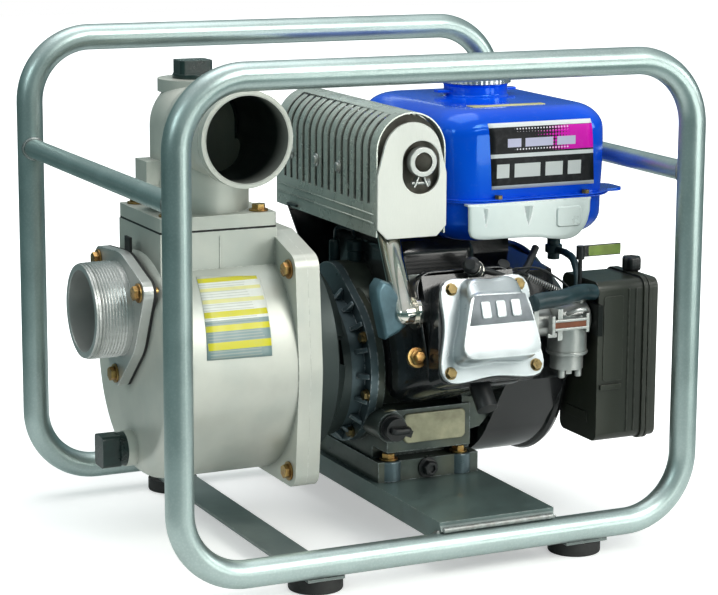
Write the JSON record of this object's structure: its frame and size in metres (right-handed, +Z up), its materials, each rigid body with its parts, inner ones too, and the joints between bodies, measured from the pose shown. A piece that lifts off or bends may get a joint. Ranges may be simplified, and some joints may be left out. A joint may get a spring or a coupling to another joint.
{
  "type": "engine-driven water pump set",
  "caption": "Small petrol engine driving a self-priming water pump, carried in a tubular hoop frame with rubber feet.",
  "frame": {"origin": "on the ground under the middle of the carrying frame", "axes": "+X along the crankshaft from the pump to the recoil starter, +Y from the rocker cover side to the rear, +Z up"},
  "size_m": [0.5357, 0.4274, 0.4774],
  "materials": {
    "zinc_tube": "satin zinc plating on steel tube",
    "painted_steel": "grey-green paint",
    "rubber": "matt black rubber",
    "gold_zinc": "yellow zinc plating",
    "cast_aluminium": "matt as-cast aluminium",
    "bare_aluminium": "satin die-cast aluminium",
    "grey_iron": "as-cast iron",
    "black_plastic": "black plastic",
    "black_casting": "black enamel on aluminium",
    "silver_paint": "silver paint",
    "steel": "ground steel",
    "porcelain": "off-white ceramic or plastic",
    "black_paint": "gloss black paint",
    "exhaust_steel": "heat-dulled pressed steel",
    "bright_steel": "bright pressed steel",
    "chrome_pipe": "polished exhaust pipe",
    "blue_paint": "gloss blue paint",
    "zinc_casting": "zinc die casting",
    "olive_plastic": "dark olive-black plastic",
    "foam": "open-cell foam"
  },
  "bodies": {
    "frame": {"front_hoop": "zinc_tube", "rear_hoop": "zinc_tube", "cross_tubes": "zinc_tube", "engine_channel": "painted_steel", "foot_straps": "painted_steel", "rubber_feet": "rubber", "frame_bolts": "gold_zinc", "pump_casing": "cast_aluminium", "volute": "grey_iron", "shaft_seal": "black_plastic", "engine_adaptor": "cast_aluminium", "suction_nozzle": "cast_aluminium", "valve_gasket": "rubber", "delivery_gasket": "rubber", "delivery_elbow": "cast_aluminium", "pump_bolts": "gold_zinc", "crankcase": "black_casting", "crankcase_cover": "silver_paint", "cylinder_head": "black_casting", "rocker_cover": "bare_aluminium", "engine_screws": "gold_zinc", "main_bearings": "steel", "spark_plug": "black_plastic", "fan_housing": "black_paint", "recoil_housing": "black_paint", "muffler": "exhaust_steel", "muffler_guard": "exhaust_steel", "muffler_end_plate": "bright_steel", "exhaust_pipe": "chrome_pipe", "fuel_tank_upper": "blue_paint", "fuel_tank_lower": "blue_paint", "tank_shield": "silver_paint", "carburettor": "zinc_casting", "air_cleaner_case": "olive_plastic", "air_filter": "foam", "breather_hose": "rubber"},
    "crank": {"crankshaft": "steel", "flywheel": "grey_iron", "impeller": "grey_iron"},
    "camshaft": {"camshaft": "steel"},
    "big_end": {"conrod_big_end": "bare_aluminium"},
    "piston": {"piston": "bare_aluminium", "wrist_pin": "steel", "conrod_shank": "bare_aluminium"},
    "intake_rocker": {"intake_rocker": "steel"},
    "intake_valve": {"intake_valve": "steel"},
    "intake_pushrod": {"intake_pushrod": "steel"},
    "exhaust_rocker": {"exhaust_rocker": "steel"},
    "exhaust_valve": {"exhaust_valve": "steel"},
    "exhaust_pushrod": {"exhaust_pushrod": "steel"},
    "check_flap": {"check_flap": "rubber"},
    "priming_cap": {"priming_cap": "black_plastic"},
    "drain_plug": {"drain_plug": "black_plastic"},
    "fuel_cap": {"fuel_cap": "steel"},
    "oil_cap": {"oil_cap": "black_plastic"},
    "recoil_pulley": {"recoil_pulley": "porcelain"},
    "starter_handle": {"starter_handle": "black_plastic"},
    "choke_lever": {"choke_lever": "black_paint"},
    "air_cleaner_cover": {"air_cleaner_cover": "olive_plastic"},
    "cover_knob": {"cover_knob": "black_plastic"}
  },
  "joints": [
    {"name": "crank_spin", "type": "hinge", "parent": "frame", "child": "crank", "pos_m": [0.05, 0.015, 0.1575], "axis": [1, 0, 0], "continuous": true},
    {"name": "cam_spin", "type": "hinge", "parent": "frame", "child": "camshaft", "pos_m": [0.05, 0.03347, 0.20824], "axis": [1, 0, 0], "continuous": true},
    {"name": "big_end_turn", "type": "hinge", "parent": "crank", "child": "big_end", "pos_m": [0.063, -0.00849, 0.16605], "axis": [1, 0, 0], "continuous": true},
    {"name": "piston_slide", "type": "slide", "parent": "frame", "child": "piston", "axis": [0, -0.9397, 0.342], "range_m": [-0.05, 0]},
    {"name": "intake_rocker_swing", "type": "hinge", "parent": "frame", "child": "intake_rocker", "pos_m": [0.074, -0.15294, 0.23991], "axis": [1, 0, 0], "range_deg": [0, 17.1]},
    {"name": "intake_valve_slide", "type": "slide", "parent": "frame", "child": "intake_valve", "axis": [0, -0.9397, 0.342], "range_m": [-0.0057, 0]},
    {"name": "intake_pushrod_slide", "type": "slide", "parent": "frame", "child": "intake_pushrod", "axis": [0, -0.9698, 0.2441], "range_m": [0, 0.0038]},
    {"name": "exhaust_rocker_swing", "type": "hinge", "parent": "frame", "child": "exhaust_rocker", "pos_m": [0.052, -0.15294, 0.23991], "axis": [1, 0, 0], "range_deg": [0, 17.1]},
    {"name": "exhaust_valve_slide", "type": "slide", "parent": "frame", "child": "exhaust_valve", "axis": [0, -0.9397, 0.342], "range_m": [-0.0057, 0]},
    {"name": "exhaust_pushrod_slide", "type": "slide", "parent": "frame", "child": "exhaust_pushrod", "axis": [0, -0.9698, 0.2441], "range_m": [0, 0.0038]},
    {"name": "check_flap_swing", "type": "hinge", "parent": "frame", "child": "check_flap", "pos_m": [-0.2112, 0.015, 0.271], "axis": [0, -1, 0], "range_deg": [0, 30]},
    {"name": "priming_cap_turn", "type": "hinge", "parent": "frame", "child": "priming_cap", "pos_m": [-0.152, 0.025, 0.44], "axis": [0, 0, 1], "range_deg": [0, 720]},
    {"name": "drain_plug_turn", "type": "hinge", "parent": "frame", "child": "drain_plug", "pos_m": [-0.235, 0.015, 0.094], "axis": [-1, 0, 0], "range_deg": [0, 720]},
    {"name": "fuel_cap_turn", "type": "hinge", "parent": "frame", "child": "fuel_cap", "pos_m": [0.15, 0.032, 0.43], "axis": [0, 0, 1], "range_deg": [0, 90]},
    {"name": "oil_cap_turn", "type": "hinge", "parent": "frame", "child": "oil_cap", "pos_m": [0.008, -0.08, 0.11], "axis": [0, -1, 0], "range_deg": [0, 720]},
    {"name": "recoil_pulley_spin", "type": "hinge", "parent": "frame", "child": "recoil_pulley", "pos_m": [0.198, 0.015, 0.1575], "axis": [-1, 0, 0], "range_deg": [0, 1146]},
    {"name": "starter_handle_pull", "type": "slide", "parent": "frame", "child": "starter_handle", "axis": [0, 1, 0], "range_m": [0, 0.9005]},
    {"name": "choke_lever_turn", "type": "hinge", "parent": "frame", "child": "choke_lever", "pos_m": [0.184, -0.12271, 0.26], "axis": [0, 0, 1], "range_deg": [0, 75]},
    {"name": "air_cleaner_cover_lift_off", "type": "slide", "parent": "frame", "child": "air_cleaner_cover", "axis": [1, 0, 0], "range_m": [0, 0.06]},
    {"name": "cover_knob_turn", "type": "hinge", "parent": "air_cleaner_cover", "child": "cover_knob", "pos_m": [0.253, -0.104, 0.25], "axis": [0, 0, 1], "range_deg": [0, 90]}
  ],
  "couplings": [
    {"joint": "cam_spin", "follows": "crank_spin", "ratio": -0.5},
    {"joint": "big_end_turn", "follows": "crank_spin", "ratio": -1},
    {"joint": "intake_rocker_swing", "follows": "intake_pushrod_slide", "rad_per_m": 78},
    {"joint": "intake_valve_slide", "follows": "intake_pushrod_slide", "ratio": -1.475},
    {"joint": "exhaust_rocker_swing", "follows": "exhaust_pushrod_slide", "rad_per_m": 78},
    {"joint": "exhaust_valve_slide", "follows": "exhaust_pushrod_slide", "ratio": -1.475},
    {"joint": "starter_handle_pull", "follows": "recoil_pulley_spin", "m_per_rad": 0.045}
  ]
}
